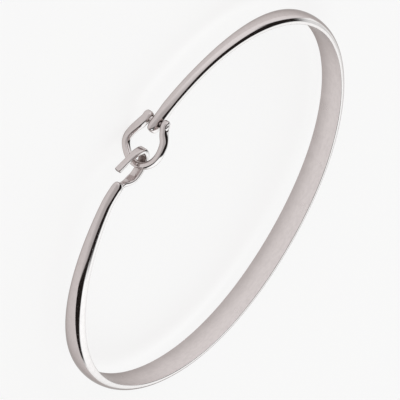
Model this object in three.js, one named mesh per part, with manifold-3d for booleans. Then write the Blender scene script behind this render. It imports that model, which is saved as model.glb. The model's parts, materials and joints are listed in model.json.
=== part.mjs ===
// A hook-and-link bangle bracelet in sterling silver. Millimetres, +Z up.
// The hoop lies flat with its axis along +Z and its clasp at the front, towards -Y. The arm that
// carries the link is on -X and the arm that carries the hook is on +X. The clasp is closed.
// The origin is the middle of the bounding box's floor.
import * as THREE from "three";
import { mergeVertices } from "three/addons/utils/BufferGeometryUtils.js";
import Module from "manifold-3d";

// The inner face of the hoop: a mean radius, and the slow waves that make it a hand-formed oval.
// A wave is [how many times it goes round, its share of the radius].
const HOOP_RADIUS = 29.03;
const COSINE_WAVES = [[1, -0.0065], [2, -0.0338], [3, -0.0026], [5, 0.0037]];
const SINE_WAVES = [[3, 0.0063]];

// The D section of the band: a flat inner face, low side walls and a domed outer face.
const BAND_THICKNESS = 1.43;
const WALL_HEIGHT = 0.36;
const BACK_WIDTH = 3.88;
const LINK_ARM_WIDTH = 1.75;
const HOOK_ARM_WIDTH = 1.55;
const LINK_ARM_TAPER = [30, 98]; // degrees from the front, from narrow to full width
const HOOK_ARM_TAPER = [6, 78];
const DOME_STEPS = 10;
const HOOP_STEPS = 104;

// The arms' rounded tips.
const LINK_ARM_END = 9.2; // degrees from the front
const HOOK_ARM_END = 8.4;
const TIP_LENGTH = 1.3;
const TIP_SHARE = 0.35; // of the full section, at the very end
const TIP_STEPS = 5;
const TIP_SET_IN = 0.6; // how far the hook arm's tip is bent into the hoop
const SET_IN_START = 16; // degrees from the front

// The hinge. The link arm's end is upset inwards to a thicker knuckle, and drilled for the pin.
const PIN_ANGLE = 12.4; // degrees from the front
const PIN_RADIUS = 0.45;
const PIN_CLEARANCE = 0.05;
const KNUCKLE_THICKNESS = 1.85;
const KNUCKLE_ANGLES = [13.4, 19]; // degrees from the front, where the knuckle runs out
const HEAD_RADIUS = 0.6;
const HEAD_HEIGHT = 0.19;
const HEAD_GAP = 0.14;
const DRILL_REACH = 4;
const ROUND_SIDES = 28;

// The link: a horseshoe of soft-edged wire with two flattened ears.
const LINK_LEAN = 14; // degrees that the link leans into the hoop
const LINK_WIRE = 1.04; // across the wire, in the plane of the horseshoe
const LINK_DEPTH = 1.15; // through the horseshoe
const EAR_THICKNESS = 1;
const EAR_GAP = 0.25; // between an ear and the knuckle
const EAR_REACH = 0.95; // past the pin
const EAR_DEPTH = 1.6;
const EAR_ROUNDING = 0.75;
const EAR_BLEND = [0.6, 2.2]; // distances from the pin, from ear to plain wire
const LINK_STEPS = 64;
const WIRE_SIDES = 14;
const WIRE_SQUARENESS = 2.7;

// The horseshoe's centre line: [distance from the pin towards the bar, height above the middle
// plane]. It was bent by hand, and its lower limb bulges more than its upper one.
const EAR_OFFSET = LINK_ARM_WIDTH / 2 + EAR_GAP + EAR_THICKNESS / 2;
const LINK_ROUTE = [
  [-EAR_REACH, EAR_OFFSET],
  [0, EAR_OFFSET],
  [0.9, 1.95],
  [2.2, 2.6],
  [4.0, 2.75],
  [5.4, 2.3],
  [6.4, 1.3],
  [6.8, 0],
  [6.5, -1.4],
  [5.5, -2.65],
  [3.9, -3.3],
  [2.2, -2.85],
  [0.9, -2.12],
  [0, -EAR_OFFSET],
  [-EAR_REACH, -EAR_OFFSET],
];

// The hook: a flat strip soldered under the hook arm's tip and folded back over the link.
const STRIP_THICKNESS = 0.8;
const STRIP_WIDTH = 1.55;
const STRIP_TIP_WIDTH = 1;
const STRIP_TAPER = [0.5, 0.85]; // shares of the strip's length, from its root
const STRIP_CORNER = 0.2;
const SOLDER_GAP = 0.05;
const HOOK_STEPS = 56;

// The hook's root lies under the arm's tip, and the rest of its centre line is [x, y, height above
// the middle plane], from the hoop's centre.
const ROOT_ANGLES = [10.9, 9.1]; // degrees from the front
const HOOK_ROUTE = [
  [3.3, -25.5, 0.02],
  [2.4, -24.85, 0.06],
  [1.2, -24.6, 0.06],
  [-0.2, -24.85, 0],
  [-1.3, -25.5, -0.06],
  [-1.65, -26.4, -0.15],
  [-0.9, -27.15, -0.35],
  [0.8, -27.85, -0.6],
  [2.7, -28.6, -0.75],
];

const SILVER = 0xd6d0cf;

const wasm = await Module();
wasm.setup();

function smooth(value, [from, to]) {
  return THREE.MathUtils.smoothstep(value, from, to);
}

// phi is the angle round the hoop in degrees: 0 at the front, growing past +X to the back.
function hoopPoint(phi) {
  const angle = THREE.MathUtils.degToRad(phi);
  let waves = 1;
  for (const [times, share] of COSINE_WAVES) waves += share * Math.cos(times * angle);
  for (const [times, share] of SINE_WAVES) waves += share * Math.sin(times * angle);
  const bent = phi < 180 ? 1 - smooth(phi, [HOOK_ARM_END, SET_IN_START]) : 0;
  const radius = HOOP_RADIUS * waves - TIP_SET_IN * bent;
  return new THREE.Vector2(radius * Math.sin(angle), -radius * Math.cos(angle));
}

// The outward normal of the hoop's inner face, in plan.
function hoopNormal(phi) {
  const along = hoopPoint(phi + 0.5).sub(hoopPoint(phi - 0.5)).normalize();
  return new THREE.Vector2(along.y, -along.x);
}

function bandWidth(phi) {
  const onLinkArm = phi > 180;
  const narrow = onLinkArm ? LINK_ARM_WIDTH : HOOK_ARM_WIDTH;
  const taper = onLinkArm ? LINK_ARM_TAPER : HOOK_ARM_TAPER;
  return narrow + (BACK_WIDTH - narrow) * smooth(Math.min(phi, 360 - phi), taper);
}

// The knuckle grows inwards from the band's own inner face.
function knuckleGrowth(phi) {
  const grown = phi > 180 ? 1 - smooth(360 - phi, KNUCKLE_ANGLES) : 0;
  return (KNUCKLE_THICKNESS - BAND_THICKNESS) * grown;
}

// One D-shaped ring of the band. "share" is below 1 only in the rounded tips.
function bandRing(phi, share = 1) {
  const point = hoopPoint(phi);
  const normal = hoopNormal(phi);
  const growth = knuckleGrowth(phi);
  const middle = (BAND_THICKNESS - growth) / 2;
  const half = ((BAND_THICKNESS + growth) / 2) * Math.sqrt(share);
  const side = (bandWidth(phi) / 2) * share;
  const dome = 2 * half - WALL_HEIGHT * share;
  const outline = [[-half, -side], [-half, side]];
  for (let step = 0; step <= DOME_STEPS; step++) {
    const angle = (Math.PI * step) / DOME_STEPS;
    outline.push([half - dome * (1 - Math.sin(angle)), side * Math.cos(angle)]);
  }
  return outline.map(([out, across]) => {
    const place = point.clone().addScaledVector(normal, middle + out);
    return new THREE.Vector3(place.x, place.y, across);
  });
}

// A closed solid through a row of rings that all have the same number of points.
function loft(rings) {
  const count = rings[0].length;
  const points = rings.flat();
  const faces = [];
  for (let row = 0; row < rings.length - 1; row++) {
    for (let k = 0; k < count; k++) {
      const a = row * count + k;
      const b = row * count + ((k + 1) % count);
      faces.push(a, b, a + count, b, b + count, a + count);
    }
  }
  const caps = [[rings[0], 0, false], [rings.at(-1), (rings.length - 1) * count, true]];
  for (const [ring, first, last] of caps) {
    const middle = new THREE.Vector3();
    for (const point of ring) middle.addScaledVector(point, 1 / count);
    points.push(middle);
    for (let k = 0; k < count; k++) {
      const a = first + k;
      const b = first + ((k + 1) % count);
      faces.push(points.length - 1, last ? a : b, last ? b : a);
    }
  }
  return new THREE.BufferGeometry().setFromPoints(points).setIndex(faces);
}

function solidOf(geometry) {
  const bare = geometry.clone();
  bare.deleteAttribute("normal");
  bare.deleteAttribute("uv");
  const merged = mergeVertices(bare, 1e-4);
  return new wasm.Manifold(new wasm.Mesh({
    numProp: 3,
    vertProperties: merged.attributes.position.array,
    triVerts: new Uint32Array(merged.index.array),
  }));
}

function geometryOf(solid) {
  const mesh = solid.getMesh();
  return new THREE.BufferGeometry()
    .setAttribute("position", new THREE.BufferAttribute(mesh.vertProperties, 3))
    .setIndex(new THREE.BufferAttribute(mesh.triVerts, 1));
}

// The pin runs through the middle of the knuckle's thickness.
const BORE_RADIUS = PIN_RADIUS + PIN_CLEARANCE;
const PIN_PHI = 360 - PIN_ANGLE;
const PIN_DEPTH = BAND_THICKNESS - KNUCKLE_THICKNESS / 2;
const PIN_CENTRE = hoopPoint(PIN_PHI).addScaledVector(hoopNormal(PIN_PHI), PIN_DEPTH);

// A round bar on the pin's axis, from its half outline given as [radius, height] points.
function turned(outline) {
  const profile = outline.map(([radius, height]) => new THREE.Vector2(radius, height));
  return new THREE.LatheGeometry(profile, ROUND_SIDES)
    .rotateX(Math.PI / 2)
    .translate(PIN_CENTRE.x, PIN_CENTRE.y, 0);
}

// A solid with the hinge's hole drilled through it.
function drilled(geometry) {
  const reach = DRILL_REACH;
  const drill = turned([[0, -reach], [BORE_RADIUS, -reach], [BORE_RADIUS, reach], [0, reach]]);
  return geometryOf(solidOf(geometry).subtract(solidOf(drill)));
}

// The rings of a rounded tip, from its end towards the arm.
function tipRings(endPhi, span) {
  const rings = [];
  for (let step = 0; step < TIP_STEPS; step++) {
    const angle = (Math.PI / 2) * (step / TIP_STEPS);
    const share = TIP_SHARE + (1 - TIP_SHARE) * Math.sin(angle);
    rings.push(bandRing(endPhi + span * (1 - Math.cos(angle)), share));
  }
  return rings;
}

function bandGeometry() {
  const span = THREE.MathUtils.radToDeg(TIP_LENGTH / HOOP_RADIUS);
  const start = HOOK_ARM_END + span;
  const end = 360 - LINK_ARM_END - span;
  const rings = tipRings(HOOK_ARM_END, span);
  for (let step = 0; step <= HOOP_STEPS; step++) {
    rings.push(bandRing(start + (end - start) * (step / HOOP_STEPS)));
  }
  rings.push(...tipRings(360 - LINK_ARM_END, -span).reverse());
  return drilled(loft(rings));
}

// A soft-edged ring of wire whose width runs along "across" and whose depth runs along Y.
function wireRing(centre, across, width, depth) {
  const soften = (value) => Math.sign(value) * Math.abs(value) ** (2 / WIRE_SQUARENESS);
  const ring = [];
  for (let side = 0; side < WIRE_SIDES; side++) {
    const angle = (2 * Math.PI * side) / WIRE_SIDES;
    const point = centre.clone().addScaledVector(across, (width / 2) * soften(Math.cos(angle)));
    point.y += (depth / 2) * soften(Math.sin(angle));
    ring.push(point);
  }
  return ring;
}

function linkGeometry() {
  const curve = new THREE.CatmullRomCurve3(
    LINK_ROUTE.map(([along, side]) => new THREE.Vector3(along, 0, side)),
  );
  const rings = [];
  for (let step = 0; step <= LINK_STEPS; step++) {
    const centre = curve.getPointAt(step / LINK_STEPS);
    const along = curve.getTangentAt(step / LINK_STEPS);
    const across = new THREE.Vector3(along.z, 0, -along.x);
    const ear = 1 - smooth(centre.x, EAR_BLEND);
    const pastPin = Math.min(centre.x / EAR_REACH, 0);
    const rounding = Math.sqrt(1 - EAR_ROUNDING * pastPin ** 2);
    const width = LINK_WIRE + (EAR_THICKNESS - LINK_WIRE) * ear;
    const depth = (LINK_DEPTH + (EAR_DEPTH - LINK_DEPTH) * ear) * rounding;
    rings.push(wireRing(centre, across, width, depth));
  }
  const horseshoe = loft(rings)
    .rotateZ(THREE.MathUtils.degToRad(LINK_LEAN))
    .translate(PIN_CENTRE.x, PIN_CENTRE.y, 0);
  return drilled(horseshoe);
}

function pinGeometry() {
  const face = EAR_OFFSET + EAR_THICKNESS / 2 + HEAD_GAP;
  const top = face + HEAD_HEIGHT;
  const upper = [
    [PIN_RADIUS, face],
    [HEAD_RADIUS, face],
    [HEAD_RADIUS * 0.8, top - HEAD_HEIGHT / 3],
    [HEAD_RADIUS * 0.45, top - HEAD_HEIGHT / 10],
    [0, top],
  ];
  const lower = upper.map(([radius, height]) => [radius, -height]).reverse();
  return turned([...lower, ...upper]);
}

// A flat strip's ring with cut corners: its thickness runs along "out" and its width along Z.
function stripRing(centre, out, width) {
  const thick = STRIP_THICKNESS / 2;
  const wide = width / 2;
  const corners = [
    [-thick, -wide + STRIP_CORNER], [-thick, wide - STRIP_CORNER],
    [-thick + STRIP_CORNER, wide], [thick - STRIP_CORNER, wide],
    [thick, wide - STRIP_CORNER], [thick, -wide + STRIP_CORNER],
    [thick - STRIP_CORNER, -wide], [-thick + STRIP_CORNER, -wide],
  ];
  return corners.map(([depth, side]) => {
    const point = centre.clone().addScaledVector(out, depth);
    point.z += side;
    return point;
  });
}

function hookGeometry() {
  const depth = STRIP_THICKNESS / 2 + SOLDER_GAP;
  const root = ROOT_ANGLES.map((phi) => {
    const point = hoopPoint(phi).addScaledVector(hoopNormal(phi), -depth);
    return new THREE.Vector3(point.x, point.y, 0);
  });
  const rest = HOOK_ROUTE.map((point) => new THREE.Vector3(...point));
  const curve = new THREE.CatmullRomCurve3([...root, ...rest]);
  const rings = [];
  for (let step = 0; step <= HOOK_STEPS; step++) {
    const centre = curve.getPointAt(step / HOOK_STEPS);
    const along = curve.getTangentAt(step / HOOK_STEPS);
    const out = new THREE.Vector3(along.y, -along.x, 0).normalize();
    const narrowed = smooth(step / HOOK_STEPS, STRIP_TAPER);
    rings.push(stripRing(centre, out, STRIP_WIDTH + (STRIP_TIP_WIDTH - STRIP_WIDTH) * narrowed));
  }
  return loft(rings);
}

function piece(name, geometry, roughness) {
  const material = new THREE.MeshStandardMaterial({ color: SILVER, roughness, metalness: 1 });
  const mesh = new THREE.Mesh(geometry, material);
  mesh.name = name;
  return mesh;
}

const bangle = new THREE.Group();
bangle.add(
  piece("band", bandGeometry(), 0.15),
  piece("hook", hookGeometry(), 0.2),
  piece("link", linkGeometry(), 0.15),
  piece("hinge_pin", pinGeometry(), 0.2),
);

const box = new THREE.Box3().setFromObject(bangle, true);
const middle = box.getCenter(new THREE.Vector3());
bangle.position.set(-middle.x, -middle.y, -box.min.z);

export default bangle;
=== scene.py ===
"""The looks of a hook-and-link bangle bracelet in sterling silver.

The band, the hook, the link and the hinge pin are rebuilt here as fine meshes from the dimensions
of the CAD part, and each stands for its CAD node. Sizes are in millimetres and angles in degrees
until a point is placed in the frame, which is in metres.
"""

import json
import math

import bmesh
import bpy
from mathutils import Matrix, Vector


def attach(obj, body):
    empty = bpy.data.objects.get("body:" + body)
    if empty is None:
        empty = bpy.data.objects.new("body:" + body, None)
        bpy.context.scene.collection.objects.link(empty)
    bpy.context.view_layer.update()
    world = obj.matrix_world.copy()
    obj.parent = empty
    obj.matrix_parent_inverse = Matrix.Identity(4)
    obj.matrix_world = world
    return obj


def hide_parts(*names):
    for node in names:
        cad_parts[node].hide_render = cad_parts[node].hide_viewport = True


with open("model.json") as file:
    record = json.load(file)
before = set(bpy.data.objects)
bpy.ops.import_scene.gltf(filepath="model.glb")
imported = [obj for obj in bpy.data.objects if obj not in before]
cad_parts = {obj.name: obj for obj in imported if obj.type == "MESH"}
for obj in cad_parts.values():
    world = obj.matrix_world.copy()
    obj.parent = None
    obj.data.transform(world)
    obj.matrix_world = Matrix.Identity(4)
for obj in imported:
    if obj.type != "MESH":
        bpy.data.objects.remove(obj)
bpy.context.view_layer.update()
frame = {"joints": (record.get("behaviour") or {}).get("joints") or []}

MM = 0.001
CURVE_STEPS = 60  # between two points of a route

# The inner face of the hoop: a mean radius, and the slow waves that make it a hand-formed oval.
HOOP_RADIUS = 29.03
COSINE_WAVES = [(1, -0.0065), (2, -0.0338), (3, -0.0026), (5, 0.0037)]
SINE_WAVES = [(3, 0.0063)]

# The D section of the band. Each arm narrows between its two angles from the front.
BAND_THICKNESS = 1.43
WALL_HEIGHT = 0.36
BACK_WIDTH = 3.88
LINK_ARM_WIDTH = 1.75
HOOK_ARM_WIDTH = 1.55
LINK_ARM_TAPER = (30, 98)
HOOK_ARM_TAPER = (6, 78)
RIM_ROUNDING = 0.11
RIM_SHARE = 0.45  # the most of a side wall that its rounded rim takes
HOLD = 0.035  # a narrow strip beside each rim that keeps the inner face flat
HOLD_SHARE = 0.1
DOME_STEPS = 36
RIM_STEPS = 5
FACE_STEPS = 8
HOOP_STEPS = 760
NORMAL_STEP = 0.5
# The inside faces get the satin material, which also carries the painted reflected shade.
INSIDE_FACING = 0.93  # faces that look this straight at the hoop's middle have the satin finish

# The arms' rounded tips, and how far the hook's arm is set in towards its tip.
LINK_ARM_END = 9.2
HOOK_ARM_END = 8.4
TIP_LENGTH = 1.3
TIP_SHARE = 0.35
TIP_STEPS = 18
TIP_CROWN = 0.06  # how far the end's middle stands out past its edge
CROWN_START = 0.2
CROWN_STEPS = 5
TIP_SET_IN = 0.6
SET_IN_START = 16

# The hinge: the pin, the thicker knuckle round it and the rivet's low heads.
PIN_ANGLE = 12.4
PIN_RADIUS = 0.45
PIN_CLEARANCE = 0.05
KNUCKLE_THICKNESS = 1.85
KNUCKLE_ANGLES = (13.4, 19)
HEAD_RADIUS = 0.54
HEAD_RISE = 0.1
LOWER_HEAD_RISE = 0.03
HEAD_SEAT = 0.14  # how far a head's edge is sunk below the ear's outer face
HEAD_CROWN = 0.02  # the flat at a head's top
HEAD_STEPS = 12
HEAD_SIDE_POWER = 0.7
HEAD_RISE_POWER = 1.2
DRILL_REACH = 4
ROUND_SIDES = 64
SHARP_ANGLE = 40

# The link: its wire, its two ears beside the knuckle, and a lower limb that is thicker than the
# other. Pairs are where a change begins and ends, along the link from the pin.
LINK_LEAN = 14
LINK_WIRE = 1.04
LINK_DEPTH = 1.15
EAR_THICKNESS = 1
EAR_GAP = 0.25
EAR_REACH = 0.95
EAR_DEPTH = 1.6
EAR_ROUNDING = 0.75
EAR_BLEND = (0.6, 2.2)
EAR_END = 0.4
EAR_END_SHARE = 0.55
LINK_STEPS = 300
WIRE_SIDES = 44
WIRE_SQUARENESS = 2.8
LINK_TWIST = 22
TWIST_HOLDS = 1.4  # so the twist is full wherever the wire runs within 44 degrees of the link
LIMB_SWELL = 0.4
LIMB_SWELLS = (-1.2, -0.3)
LIMB_TURNS_IN = (-0.3, 1.6)
LIMB_THINS = (1.2, 5.0)
EAR_OFFSET = LINK_ARM_WIDTH / 2 + EAR_GAP + EAR_THICKNESS / 2
# The middle of the wire: how far along the link from the pin, and how far up.
LINK_ROUTE = [
    (-EAR_REACH, EAR_OFFSET),
    (0, EAR_OFFSET),
    (0.9, 1.95),
    (2.2, 2.6),
    (4.0, 2.75),
    (5.4, 2.3),
    (6.4, 1.3),
    (6.8, 0),
    (6.5, -1.4),
    (5.5, -2.6),
    (4.7, -3.1),
    (3.8, -3.24),
    (2.9, -3.06),
    (2.0, -2.72),
    (0.9, -2.12),
    (0, -EAR_OFFSET),
    (-EAR_REACH, -EAR_OFFSET),
]

# The hook. Pairs are where a change begins and ends, as shares of the strip's length.
STRIP_THICKNESS = 0.8
STRIP_WIDTH = 1.55
STRIP_TIP_WIDTH = 1
STRIP_TAPER = (0.5, 0.85)
STRIP_ROUNDING = 0.28
STRIP_EDGE_STEPS = 6
ROOT_SHARE = 0.6
ROOT_WIDENS = (0.1, 0.24)
HOOK_STEPS = 260
ROOT_ANGLES = (10.9, 9.1)
# The middle of the strip past its root, from the middle of the hoop.
HOOK_ROUTE = [
    (3.3, -25.5, 0.02),
    (2.4, -24.85, 0.06),
    (1.2, -24.6, 0.06),
    (-0.2, -24.85, 0),
    (-1.3, -25.5, -0.06),
    (-1.65, -26.4, -0.15),
    (-0.9, -27.15, -0.35),
    (0.8, -27.85, -0.6),
    (2.7, -28.6, -0.75),
]


def smooth(value, ends):
    """A soft step from 0 at the first end to 1 at the second."""
    share = min(max((value - ends[0]) / (ends[1] - ends[0]), 0), 1)
    return share * share * (3 - 2 * share)


def hoop_point(phi):
    """A point of the hoop's inner face in plan; phi grows from the front past +X to the back."""
    angle = math.radians(phi)
    waves = 1
    for times, share in COSINE_WAVES:
        waves += share * math.cos(times * angle)
    for times, share in SINE_WAVES:
        waves += share * math.sin(times * angle)
    bent = 1 - smooth(phi, (HOOK_ARM_END, SET_IN_START)) if phi < 180 else 0
    radius = HOOP_RADIUS * waves - TIP_SET_IN * bent
    return Vector((radius * math.sin(angle), -radius * math.cos(angle), 0))


def hoop_normal(phi):
    """The direction straight out from the hoop's inner face."""
    along = (hoop_point(phi + NORMAL_STEP) - hoop_point(phi - NORMAL_STEP)).normalized()
    return Vector((along.y, -along.x, 0))


def band_width(phi):
    """The band's width at an angle, narrow on both arms and wide at the back."""
    on_link_arm = phi > 180
    narrow = LINK_ARM_WIDTH if on_link_arm else HOOK_ARM_WIDTH
    taper = LINK_ARM_TAPER if on_link_arm else HOOK_ARM_TAPER
    return narrow + (BACK_WIDTH - narrow) * smooth(min(phi, 360 - phi), taper)


def knuckle_growth(phi):
    """How much thicker the band is near the hinge, all of it inwards."""
    grown = 1 - smooth(360 - phi, KNUCKLE_ANGLES) if phi > 180 else 0
    return (KNUCKLE_THICKNESS - BAND_THICKNESS) * grown


PIN_PHI = 360 - PIN_ANGLE
PIN_DEPTH = BAND_THICKNESS - KNUCKLE_THICKNESS / 2
PIN_CENTRE = hoop_point(PIN_PHI) + hoop_normal(PIN_PHI) * PIN_DEPTH
HINGE = frame["joints"][0]["pos_m"]
HOOP_CENTRE = Vector(HINGE) - PIN_CENTRE * MM


def placed(point):
    """A point of the hoop, in millimetres, as a point of the frame, in metres."""
    return HOOP_CENTRE + point * MM


# Meshes


def arc(centre, radius, start, end, steps):
    """Points of an arc as (out, across)."""
    points = []
    for step in range(steps + 1):
        angle = math.radians(start + (end - start) * step / steps)
        points.append((centre[0] + radius * math.cos(angle), centre[1] + radius * math.sin(angle)))
    return points


def band_outline(half, side, wall):
    """The D section: a flat inner face, rounded rims, side walls and a dome."""
    rim = min(RIM_ROUNDING * half * 2 / BAND_THICKNESS, wall * RIM_SHARE)
    hold = min(HOLD, side * HOLD_SHARE)
    reach = side - rim
    points = [(-half, -reach)]
    for step in range(FACE_STEPS + 1):
        points.append((-half, (reach - hold) * (2 * step / FACE_STEPS - 1)))
    points += arc((-half + rim, reach), rim, 180, 90, RIM_STEPS)
    dome = 2 * half - wall
    for step in range(DOME_STEPS + 1):
        angle = math.pi * step / DOME_STEPS
        points.append((half - dome * (1 - math.sin(angle)), side * math.cos(angle)))
    points += arc((-half + rim, -reach), rim, 270, 180, RIM_STEPS)[:-1]
    return points


def band_ring(phi, share=1.0):
    """The band's section at an angle, smaller towards a tip."""
    normal = hoop_normal(phi)
    growth = knuckle_growth(phi)
    middle = (BAND_THICKNESS - growth) / 2
    half = (BAND_THICKNESS + growth) / 2 * math.sqrt(share)
    side = band_width(phi) / 2 * share
    base = hoop_point(phi) + normal * middle
    ring = []
    for out, across in band_outline(half, side, WALL_HEIGHT * share):
        ring.append(base + normal * out + Vector((0, 0, across)))
    return ring


def tip_rings(end_phi, span):
    """A rounded tip's rings from its end: a small crown, then a quarter round."""
    rings = []
    for step in range(CROWN_STEPS):
        share = CROWN_START + (1 - CROWN_START) * step / CROWN_STEPS
        sink = TIP_CROWN * (1 - share * share)
        rings.append((end_phi - span / TIP_LENGTH * sink, TIP_SHARE * share))
    for step in range(TIP_STEPS):
        angle = math.pi / 2 * step / TIP_STEPS
        share = TIP_SHARE + (1 - TIP_SHARE) * math.sin(angle)
        rings.append((end_phi + span * (1 - math.cos(angle)), share))
    return [band_ring(phi, share) for phi, share in rings]


def wire_ring(centre, across, through, width, depth):
    """A soft-cornered section: a superellipse round a point of the wire."""
    ring = []
    for side in range(WIRE_SIDES):
        angle = 2 * math.pi * side / WIRE_SIDES
        softened = []
        for value in (math.cos(angle), math.sin(angle)):
            softened.append(math.copysign(abs(value) ** (2 / WIRE_SQUARENESS), value))
        offset = across * (width / 2 * softened[0]) + through * (depth / 2 * softened[1])
        ring.append(centre + offset)
    return ring


def curve_through(points, count):
    """Evenly spaced (point, tangent) pairs on the centripetal Catmull-Rom curve through points."""
    points = [Vector(p) for p in points]
    ends = [points[0] * 2 - points[1]], [points[-1] * 2 - points[-2]]
    chain = ends[0] + points + ends[1]
    fine = []
    for k in range(len(points) - 1):
        p0, p1, p2, p3 = chain[k : k + 4]
        d0 = math.sqrt((p1 - p0).length)
        d1 = math.sqrt((p2 - p1).length)
        d2 = math.sqrt((p3 - p2).length)
        t1 = ((p1 - p0) / d0 - (p2 - p0) / (d0 + d1) + (p2 - p1) / d1) * d1
        t2 = ((p2 - p1) / d1 - (p3 - p1) / (d1 + d2) + (p3 - p2) / d2) * d1
        for step in range(CURVE_STEPS):
            t = step / CURVE_STEPS
            square, cube = t * t, t * t * t
            fine.append(
                p1
                + t1 * t
                + (p2 * 3 - p1 * 3 - t1 * 2 - t2) * square
                + (p1 * 2 - p2 * 2 + t1 + t2) * cube
            )
    fine.append(points[-1])
    travel = [0.0]
    for a, b in zip(fine, fine[1:]):
        travel.append(travel[-1] + (b - a).length)
    pairs = []
    k = 0
    for step in range(count + 1):
        reach = travel[-1] * step / count
        while k < len(fine) - 2 and travel[k + 1] < reach:
            k += 1
        part = (reach - travel[k]) / (travel[k + 1] - travel[k])
        before, after = fine[max(k - 1, 0)], fine[min(k + 2, len(fine) - 1)]
        pairs.append((fine[k].lerp(fine[k + 1], part), (after - before).normalized()))
    return pairs


def skin(rings):
    """A mesh and its rows of vertices: four-sided faces between rings with equally many points."""
    mesh = bmesh.new()
    rows = [[mesh.verts.new(placed(point)) for point in ring] for ring in rings]
    for low, high in zip(rows, rows[1:]):
        for k in range(len(low)):
            j = (k + 1) % len(low)
            mesh.faces.new((low[k], low[j], high[j], high[k]))
    return mesh, rows


def tube(rings):
    """A skin closed by a fan at each end."""
    mesh, rows = skin(rings)
    for row in (rows[0], rows[-1]):
        middle = sum((v.co for v in row), Vector()) / len(row)
        tip = mesh.verts.new(middle)
        for k in range(len(row)):
            mesh.faces.new((row[k], row[(k + 1) % len(row)], tip))
    bmesh.ops.recalc_face_normals(mesh, faces=mesh.faces)
    return mesh


def linked(name, mesh, materials=()):
    """An object in the scene made from a mesh that is being edited."""
    data = bpy.data.meshes.new(name)
    mesh.to_mesh(data)
    mesh.free()
    for material in materials:
        data.materials.append(material)
    piece = bpy.data.objects.new(name, data)
    bpy.context.collection.objects.link(piece)
    return piece


def shown(name, mesh, materials, node, body):
    """A finished piece that stands for a CAD node and rides on its body."""
    piece = linked(name, mesh, materials)
    piece.data.shade_smooth()
    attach(piece, body)
    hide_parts(node)
    return piece


def lathe(profile):
    """A round piece on the pin's axis from (radius, height) points."""
    rings = []
    for radius, height in profile:
        ring = []
        for side in range(ROUND_SIDES):
            angle = 2 * math.pi * side / ROUND_SIDES
            spoke = Vector((radius * math.cos(angle), radius * math.sin(angle), height))
            ring.append(PIN_CENTRE + spoke)
        rings.append(ring)
    mesh, rows = skin(rings)
    for row in (rows[0], rows[-1]):
        mesh.faces.new(row)
    bmesh.ops.recalc_face_normals(mesh, faces=mesh.faces)
    return mesh


def drill(piece):
    """Cuts the hinge's hole through a piece."""
    radius = PIN_RADIUS + PIN_CLEARANCE
    cutter = linked("drill", lathe([(radius, -DRILL_REACH), (radius, DRILL_REACH)]))
    hole = piece.modifiers.new("drill", "BOOLEAN")
    hole.operation = "DIFFERENCE"
    hole.solver = "EXACT"
    hole.object = cutter
    graph = bpy.context.evaluated_depsgraph_get()
    cut = bpy.data.meshes.new_from_object(piece.evaluated_get(graph))
    piece.modifiers.clear()
    old = piece.data
    piece.data = cut
    cut.set_sharp_from_angle(angle=math.radians(SHARP_ANGLE))
    bpy.data.meshes.remove(old)
    bpy.data.objects.remove(cutter)


def make_band(outside, inside):
    """The hoop from the hook's arm round the back to the drilled knuckle on the link's arm."""
    span = math.degrees(TIP_LENGTH / HOOP_RADIUS)
    start = HOOK_ARM_END + span
    end = 360 - LINK_ARM_END - span
    rings = tip_rings(HOOK_ARM_END, span)
    for step in range(HOOP_STEPS + 1):
        rings.append(band_ring(start + (end - start) * step / HOOP_STEPS))
    rings += tip_rings(360 - LINK_ARM_END, -span)[::-1]
    mesh = tube(rings)
    for face in mesh.faces:
        middle = face.calc_center_median()
        outwards = Vector((middle.x - HOOP_CENTRE.x, middle.y - HOOP_CENTRE.y, 0)).normalized()
        face.material_index = 1 if face.normal.dot(outwards) < -INSIDE_FACING else 0
    band = shown("band_hoop", mesh, [outside, inside], "band", "hoop")
    drill(band)


def link_ring(centre, along):
    """The wire's ring at a point of the horseshoe: an ear by the pin, twisted wire past it."""
    ear = 1 - smooth(centre.x, EAR_BLEND)
    past_pin = min(centre.x / EAR_REACH, 0)
    nearing_end = max((EAR_END - EAR_REACH - centre.x) / EAR_END, 0)
    rounded_off = math.sqrt(max(1 - EAR_END_SHARE * nearing_end**2, 0))
    width = (LINK_WIRE + (EAR_THICKNESS - LINK_WIRE) * ear) * rounded_off
    depth = (LINK_DEPTH + (EAR_DEPTH - LINK_DEPTH) * ear) * rounded_off
    depth *= math.sqrt(1 - EAR_ROUNDING * past_pin**2)
    if centre.z < 0:
        swell = LIMB_SWELL * smooth(centre.x, LIMB_SWELLS) * (1 - smooth(centre.x, LIMB_THINS))
        width += swell
        inwards = smooth(centre.x, LIMB_TURNS_IN)
        centre = centre + Vector((0, 0, inwards * swell / 2))
    turned = LINK_TWIST * min(max(along.x * TWIST_HOLDS, -1), 1) * (1 - ear)
    twist = Matrix.Rotation(math.radians(turned), 3, along)
    across = twist @ Vector((along.z, 0, -along.x))
    through = twist @ Vector((0, 1, 0))
    return wire_ring(centre, across, through, width, depth)


def make_link(material):
    """The horseshoe of wire, laid along +X from the pin and then turned to lean inwards."""
    route = curve_through([(along, 0, up) for along, up in LINK_ROUTE], LINK_STEPS)
    lean = Matrix.Rotation(math.radians(LINK_LEAN), 3, "Z")
    rings = []
    for centre, along in route:
        rings.append([lean @ point + PIN_CENTRE for point in link_ring(centre, along)])
    link = shown("clasp_link", tube(rings), [material], "link", "link")
    drill(link)


def rivet_head(rise):
    """Half of the rivet's profile, from the shank to the crown of a low domed head."""
    seat = EAR_OFFSET + EAR_THICKNESS / 2 - HEAD_SEAT
    profile = [(PIN_RADIUS, seat)]
    for step in range(HEAD_STEPS + 1):
        angle = math.pi / 2 * step / HEAD_STEPS
        radius = max(HEAD_RADIUS * math.cos(angle) ** HEAD_SIDE_POWER, HEAD_CROWN)
        profile.append((radius, seat + (rise + HEAD_SEAT) * math.sin(angle) ** HEAD_RISE_POWER))
    return profile


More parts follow.
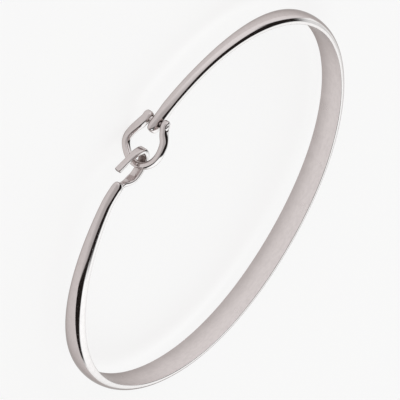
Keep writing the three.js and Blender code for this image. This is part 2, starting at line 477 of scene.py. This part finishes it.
def make_pin(material):
    """The rivet through both ears and the knuckle."""
    upper = rivet_head(HEAD_RISE)
    lower = [(radius, -height) for radius, height in rivet_head(LOWER_HEAD_RISE)][::-1]
    shown("hinge_rivet", lathe(lower + upper), [material], "hinge_pin", "link")


def strip_outline(width):
    """A flat strip's section with rounded edges, as (out, across)."""
    thick, wide, round_off = STRIP_THICKNESS / 2, width / 2, STRIP_ROUNDING
    points = []
    for turn, (out, across) in enumerate([(1, 1), (-1, 1), (-1, -1), (1, -1)]):
        centre = (out * (thick - round_off), across * (wide - round_off))
        points += arc(centre, round_off, 90 * turn, 90 * turn + 90, STRIP_EDGE_STEPS)
    return points


def make_hook(material):
    """The strip that starts flat under the arm's tip and is folded back over the link."""
    depth = STRIP_THICKNESS / 2
    root = [hoop_point(phi) - hoop_normal(phi) * depth for phi in ROOT_ANGLES]
    route = curve_through([*root, *HOOK_ROUTE], HOOK_STEPS)
    rings = []
    for step, (centre, along) in enumerate(route):
        share = step / HOOK_STEPS
        out = Vector((along.y, -along.x, 0)).normalized()
        narrowed = smooth(share, STRIP_TAPER)
        width = STRIP_WIDTH + (STRIP_TIP_WIDTH - STRIP_WIDTH) * narrowed
        width *= ROOT_SHARE + (1 - ROOT_SHARE) * smooth(share, ROOT_WIDENS)
        ring = []
        for outwards, across in strip_outline(width):
            ring.append(centre + out * outwards + Vector((0, 0, across)))
        rings.append(ring)
    shown("clasp_hook", tube(rings), [material], "hook", "hoop")


# Materials


class Nodes:
    """A short way to add and join shader nodes."""

    def __init__(self, tree):
        self.tree = tree

    def add(self, kind, **settings):
        node = self.tree.nodes.new(kind)
        for name, value in settings.items():
            setattr(node, name, value)
        return node

    def join(self, source, target):
        self.tree.links.new(source, target)

    def math(self, operation, *values):
        node = self.add("ShaderNodeMath", operation=operation)
        for socket, value in zip(node.inputs, values):
            if isinstance(value, bpy.types.NodeSocket):
                self.join(value, socket)
            else:
                socket.default_value = value
        return node.outputs[0]

    def dot(self, vector, direction):
        node = self.add("ShaderNodeVectorMath", operation="DOT_PRODUCT")
        self.join(vector, node.inputs[0])
        node.inputs[1].default_value = direction.normalized()
        return node.outputs["Value"]

    def ramp(self, value, low, high):
        node = self.add("ShaderNodeMapRange", interpolation_type="SMOOTHSTEP")
        self.join(value, node.inputs["Value"])
        node.inputs["From Min"].default_value = low
        node.inputs["From Max"].default_value = high
        return node.outputs["Result"]

    def noise(self, vector, scale=1.0, detail=3.0, roughness=0.55):
        node = self.add("ShaderNodeTexNoise")
        self.join(vector, node.inputs["Vector"])
        node.inputs["Scale"].default_value = scale
        node.inputs["Detail"].default_value = detail
        node.inputs["Roughness"].default_value = roughness
        return node.outputs["Fac"]

    def stretched(self, vector, scale, rotation=(0, 0, 0)):
        node = self.add("ShaderNodeMapping")
        self.join(vector, node.inputs["Vector"])
        node.inputs["Rotation"].default_value = rotation
        node.inputs["Scale"].default_value = scale
        return node.outputs["Vector"]

    def tint(self, share, first, second):
        """A colour from the first to the second; a Mix node's colours are its sockets 6, 7 and 2."""
        node = self.add("ShaderNodeMix", data_type="RGBA")
        self.join(share, node.inputs["Factor"])
        for socket, colour in ((node.inputs[6], first), (node.inputs[7], second)):
            if isinstance(colour, bpy.types.NodeSocket):
                self.join(colour, socket)
            else:
                socket.default_value = (*colour, 1)
        return node.outputs[2]


def round_the_hoop(nodes):
    """Millimetre coordinates that run along the band, across it and out from it."""
    place = nodes.add("ShaderNodeTexCoord").outputs["Object"]
    parts = nodes.add("ShaderNodeSeparateXYZ")
    nodes.join(place, parts.inputs[0])
    x = nodes.math("SUBTRACT", parts.outputs[0], HOOP_CENTRE.x)
    y = nodes.math("SUBTRACT", parts.outputs[1], HOOP_CENTRE.y)
    angle = nodes.math("ARCTAN2", x, y)
    squares = nodes.math("ADD", nodes.math("POWER", x, 2), nodes.math("POWER", y, 2))
    reach = nodes.math("SQRT", squares)
    joined = nodes.add("ShaderNodeCombineXYZ")
    nodes.join(nodes.math("MULTIPLY", angle, HOOP_RADIUS), joined.inputs[0])
    nodes.join(nodes.math("MULTIPLY", parts.outputs[2], 1 / MM), joined.inputs[1])
    nodes.join(nodes.math("MULTIPLY", reach, 1 / MM), joined.inputs[2])
    return joined.outputs[0]


# Reflected colours: the outside's two shades; the inside's painted reflected shade, dull by its
# lower rim and bright by its upper; and the painted crevice shade. The dull shade also mottles all
# of it.
SILVER = (0.63, 0.575, 0.567)
WARM_SILVER = (0.60, 0.541, 0.532)
MOTTLE_AND_PAINTED_SHADE = (0.47, 0.424, 0.415)
PAINTED_BRIGHT_SILVER = (0.72, 0.662, 0.653)
PAINTED_CREVICE_SHADE = (0.20, 0.165, 0.14)
EDGE_TINT = (0.55, 0.53, 0.52, 1)  # where a face is seen almost along its surface

# Patterns over the coordinates of round_the_hoop; a stretch is how fine one is in each direction.
# A scratch field has its stretch, its turn in radians, and the noise values where a scratch begins
# and is full.
POLISH_STRETCH = (0.35, 14, 14)
SCRATCH_FIELDS = (
    ((1.1, 26, 26), (0.5, 0.3, 0.45), (0.68, 0.76)),
    ((1.3, 30, 30), (0.2, 0.7, -0.6), (0.69, 0.77)),
)
SCRATCH_ROUGHNESS = 0.6
CLOUD_SCALE = 0.35
CLOUD_ROUGHNESS = 0.62
MOTTLE_STRETCH = (1.2, 2.6, 2.6)
MOTTLE_RANGE = (0.35, 0.7)
MOTTLE_SHARE = 0.2
# The inside's painted reflected shade turns from dull to bright between these heights.
BRIGHTENS = (1.3, 4.6)  # the height where the inside is dull, and where it is bright
BRIGHTENS_UNEVENLY = 1.2  # how much that height wanders with the clouds
CREVICE_RANGE = (0.35, 0.95)
CREVICE_SHARE = 0.8
CREVICE_ROUGHNESS = 0.25
CREVICE_SAMPLES = 6
BUMP_HEIGHT = 0.004


def scratched(nodes, along):
    """Hairline scratches in two directions, 1 in a scratch and 0 beside it."""
    fields = []
    for stretch, turn, ends in SCRATCH_FIELDS:
        field = nodes.noise(nodes.stretched(along, stretch, turn), detail=2)
        fields.append(nodes.ramp(field, *ends))
    return nodes.math("MAXIMUM", *fields)


def tucked_away(nodes, nook):
    """How deep a point lies in a crevice as wide as the nook."""
    close = nodes.add("ShaderNodeAmbientOcclusion", samples=CREVICE_SAMPLES)
    close.inputs["Distance"].default_value = nook * MM
    hidden = nodes.math("SUBTRACT", 1, close.outputs["AO"])
    return nodes.math("MULTIPLY", nodes.ramp(hidden, *CREVICE_RANGE), CREVICE_SHARE)


def painted_reflected_shade(nodes, along, clouds):
    """Painted reflection of the floor's shade on the inside: dull by the lower rim, bright by the
    upper.
    """
    parts = nodes.add("ShaderNodeSeparateXYZ")
    nodes.join(along, parts.inputs[0])
    height = nodes.math("SUBTRACT", parts.outputs[1], BRIGHTENS_UNEVENLY / 2)
    height = nodes.math("MULTIPLY_ADD", clouds, BRIGHTENS_UNEVENLY, height)
    return nodes.tint(nodes.ramp(height, *BRIGHTENS), MOTTLE_AND_PAINTED_SHADE, PAINTED_BRIGHT_SILVER)


def silver(name, gloss, wear, lines, scratch, nook, painted_fade=False):
    """Sterling silver with polish lines, hairline scratches, clouds, mottling and painted crevice
    shade.

    Gloss is the least roughness and wear what the clouds add to it; lines and scratch are how
    deep those marks are; nook is how wide a crevice may be; fades is for the inside of the band and
    paints a reflected shade on it.
    """
    material = bpy.data.materials.new(name)
    material.use_nodes = True
    nodes = Nodes(material.node_tree)
    shader = material.node_tree.nodes["Principled BSDF"]
    shader.inputs["Metallic"].default_value = 1.0
    shader.inputs["Specular Tint"].default_value = EDGE_TINT
    along = round_the_hoop(nodes)

    polish = nodes.noise(nodes.stretched(along, POLISH_STRETCH), detail=4)
    hairs = scratched(nodes, along)
    clouds = nodes.noise(along, CLOUD_SCALE, detail=5, roughness=CLOUD_ROUGHNESS)
    crevice = tucked_away(nodes, nook)

    shade = nodes.tint(clouds, SILVER, WARM_SILVER)
    # The inside instead takes a painted reflected shade, dull by its lower rim and bright by its
    # upper.
    if painted_fade:
        shade = painted_reflected_shade(nodes, along, clouds)
    mottle = nodes.noise(nodes.stretched(along, MOTTLE_STRETCH), detail=4)
    mottle = nodes.math("MULTIPLY", nodes.ramp(mottle, *MOTTLE_RANGE), MOTTLE_SHARE)
    shade = nodes.tint(mottle, shade, MOTTLE_AND_PAINTED_SHADE)
    # Painted shade: crevices and gaps between parts darken, as far as ambient occlusion reaches.
    nodes.join(nodes.tint(crevice, shade, PAINTED_CREVICE_SHADE), shader.inputs["Base Color"])

    rough = nodes.math("MULTIPLY", clouds, wear)
    rough = nodes.math("ADD", rough, nodes.math("MULTIPLY", hairs, scratch * SCRATCH_ROUGHNESS))
    rough = nodes.math("ADD", rough, nodes.math("MULTIPLY", crevice, CREVICE_ROUGHNESS))
    nodes.join(nodes.math("ADD", rough, gloss), shader.inputs["Roughness"])

    height = nodes.math("MULTIPLY", polish, lines)
    height = nodes.math("SUBTRACT", height, nodes.math("MULTIPLY", hairs, scratch))
    bump = nodes.add("ShaderNodeBump")
    bump.inputs["Strength"].default_value = 1.0
    bump.inputs["Distance"].default_value = BUMP_HEIGHT * MM
    nodes.join(height, bump.inputs["Height"])
    nodes.join(bump.outputs["Normal"], shader.inputs["Normal"])
    return material


# The studio


FLOOR_GLOW = (0.788, 0.781, 0.778, 1)
FLOOR_SHADES = ((0.197, 0.197, 0.197), (0.203, 0.203, 0.203))
FLOOR_GRAIN = 900
FLOOR_ROUGHNESS = 0.9
FLOOR_SHINE = 0.1
FLOOR_REACH = 3


def make_floor():
    """A pale floor that glows a little, so that shadows stay faint."""
    material = bpy.data.materials.new("pale_floor")
    material.use_nodes = True
    nodes = Nodes(material.node_tree)
    shader = material.node_tree.nodes["Principled BSDF"]
    place = nodes.add("ShaderNodeTexCoord").outputs["Object"]
    grain = nodes.noise(place, FLOOR_GRAIN)
    nodes.join(nodes.tint(grain, *FLOOR_SHADES), shader.inputs["Base Color"])
    shader.inputs["Roughness"].default_value = FLOOR_ROUGHNESS
    shader.inputs["Specular IOR Level"].default_value = FLOOR_SHINE
    shader.inputs["Emission Color"].default_value = FLOOR_GLOW
    shader.inputs["Emission Strength"].default_value = 1
    mesh = bmesh.new()
    bmesh.ops.create_grid(mesh, x_segments=2, y_segments=2, size=FLOOR_REACH)
    floor = linked("floor", mesh, [material])


# The tent of light is grey on the camera's side and white behind, with a dark gap between them.
# For a direction x, y, z the gap runs where
# LEAN * x + DEPTH * y + RISE * z + BOW * x * x + SKEW * x * z = REACH.
GAP_LEAN = 0.12
GAP_DEPTH = 0.81
GAP_RISE = 0.58
GAP_BOW = 0.51
GAP_SKEW = 0.42
GAP_REACH = 0.745
# Where the grey reaches further round: a direction, from how near, up to how near, by how much.
GREY_TURN = (Vector((-0.90, 0.42, 0.05)), 0.89, 0.97, 0.25)
GAP_GREY_SIDE = 0.105
GAP_WHITE_SIDE = 0.105
GREY_FADE = 0.16
WHITE_FADE = 0.12
# Where the gap widens or narrows: a direction, from how near, towards the grey, towards the white.
GAP_SPOTS = (
    (Vector((0.96, 0.10, 0.16)), 0.70, 0.42, 0.20),
    (Vector((-0.42, 0.48, 0.78)), 0.90, 0.28, 0.10),
    (Vector((-0.64, 0.72, 0.26)), 0.86, -0.12, -0.09),
    (Vector((0.15, 0.38, 0.91)), 0.93, -0.12, 0.07),
)
# Where the gap closes: a direction, and from how near.
CLOSED_SPOTS = (
    (Vector((-0.62, 0.78, 0.08)), 0.93),
    (Vector((-0.25, 0.96, 0.05)), 0.88),
    (Vector((0.60, 0.80, 0.0)), 0.92),
)
SIDE_BLEND = 0.03
# The grey's colours by the horizon, higher up and far towards -X, and where the last two set in.
FRONT_LOW = (0.86, 0.855, 0.855)
FRONT_HIGH = (0.64, 0.635, 0.635)
FRONT_SIDE = (1.15, 1.17, 1.18)
FRONT_RISES = (0, 0.7)
FRONT_TURNS = (0.25, 0.85)
BACK_LIGHT = (1.64, 1.78, 1.80)
GAP_LIGHT = (0.02, 0.018, 0.016)


def past_gap(nodes, direction, x, y, z):
    """How far a direction lies past the middle of the gap: below 0 on the grey side."""
    past = nodes.math("MULTIPLY_ADD", nodes.math("MULTIPLY", x, x), GAP_BOW, -GAP_REACH)
    past = nodes.math("MULTIPLY_ADD", nodes.math("MULTIPLY", x, z), GAP_SKEW, past)
    for part, share in ((x, GAP_LEAN), (y, GAP_DEPTH), (z, GAP_RISE)):
        past = nodes.math("MULTIPLY_ADD", part, share, past)
    heading, near, nearest, turn = GREY_TURN
    turned = nodes.ramp(nodes.dot(direction, heading), near, nearest)
    return nodes.math("MULTIPLY_ADD", turned, -turn, past)


def lit_share(nodes, direction, past):
    """How much of the tent's light comes from a direction: 0 in the gap, 1 well outside it."""
    grey_edge = GAP_GREY_SIDE
    white_edge = GAP_WHITE_SIDE
    for heading, near, greyward, whiteward in GAP_SPOTS:
        spot = nodes.ramp(nodes.dot(direction, heading), near, 1.0)
        grey_edge = nodes.math("MULTIPLY_ADD", spot, greyward, grey_edge)
        white_edge = nodes.math("MULTIPLY_ADD", spot, whiteward, white_edge)
    before = nodes.math("SUBTRACT", nodes.math("MULTIPLY", past, -1), grey_edge)
    beyond = nodes.math("SUBTRACT", past, white_edge)
    greyed = nodes.ramp(before, 0, GREY_FADE)
    whitened = nodes.ramp(beyond, 0, WHITE_FADE)
    light = nodes.math("MAXIMUM", greyed, whitened)
    for heading, near in CLOSED_SPOTS:
        closed = nodes.ramp(nodes.dot(direction, heading), near, 1.0)
        light = nodes.math("MAXIMUM", light, closed)
    return light


def make_world():
    """The tent of light that the silver reflects."""
    world = bpy.data.worlds.new("studio")
    bpy.context.scene.world = world
    world.use_nodes = True
    nodes = Nodes(world.node_tree)
    background = world.node_tree.nodes["Background"]
    direction = nodes.add("ShaderNodeTexCoord").outputs["Generated"]
    parts = nodes.add("ShaderNodeSeparateXYZ")
    nodes.join(direction, parts.inputs[0])
    x, y, z = parts.outputs
    past = past_gap(nodes, direction, x, y, z)
    light = lit_share(nodes, direction, past)
    leftwards = nodes.math("MULTIPLY", x, -1)
    front = nodes.tint(nodes.ramp(z, *FRONT_RISES), FRONT_LOW, FRONT_HIGH)
    front = nodes.tint(nodes.ramp(leftwards, *FRONT_TURNS), front, FRONT_SIDE)
    tent = nodes.tint(nodes.ramp(past, -SIDE_BLEND, SIDE_BLEND), front, BACK_LIGHT)
    nodes.join(nodes.tint(light, GAP_LIGHT, tent), background.inputs["Color"])


# The camera stands in front of the clasp and above the hoop's plane, and is rolled.
CAMERA_RISE = 26
CAMERA_ROLL = -121.08
CAMERA_DISTANCE = 0.815  # metres
CAMERA_LENS = 498.1
SENSOR_WIDTH = 36
CLIP_START = 0.05
CLIP_END = 20
AIM_ASIDE = (-0.984, 0.305)  # to the right of the hoop's centre, and up, as the camera sees it


def make_camera():
    """A long lens aimed near the hoop's middle."""
    rise = math.radians(CAMERA_RISE)
    roll = math.radians(CAMERA_ROLL)
    back = Vector((0, -math.cos(rise), math.sin(rise)))
    level = Vector((1, 0, 0))
    upright = back.cross(level)
    right = level * math.cos(roll) - upright * math.sin(roll)
    up = level * math.sin(roll) + upright * math.cos(roll)
    data = bpy.data.cameras.new("camera")
    data.lens = CAMERA_LENS
    data.sensor_width = SENSOR_WIDTH
    data.clip_start = CLIP_START
    data.clip_end = CLIP_END
    camera = bpy.data.objects.new("camera", data)
    aim = HOOP_CENTRE + right * (AIM_ASIDE[0] * MM) + up * (AIM_ASIDE[1] * MM)
    turn = Matrix((right, up, back)).transposed().to_4x4()
    camera.matrix_world = Matrix.Translation(aim + back * CAMERA_DISTANCE) @ turn
    bpy.context.collection.objects.link(camera)
    bpy.context.scene.camera = camera


outside = silver(
    "polished_silver_outside", gloss=0.05, wear=0.06, lines=0.10, scratch=0.5, nook=0.8
)
inside = silver(
    "satin_silver_inside", gloss=0.24, wear=0.10, lines=1.0, scratch=0.5, nook=0.8, painted_fade=True
)
worked = silver(
    "worked_silver_clasp", gloss=0.12, wear=0.10, lines=0.6, scratch=0.8, nook=1.6
)
make_band(outside, inside)
make_link(outside)
make_pin(worked)
make_hook(worked)
make_floor()
make_world()
make_camera()
bpy.context.scene.view_settings.view_transform = "Standard"
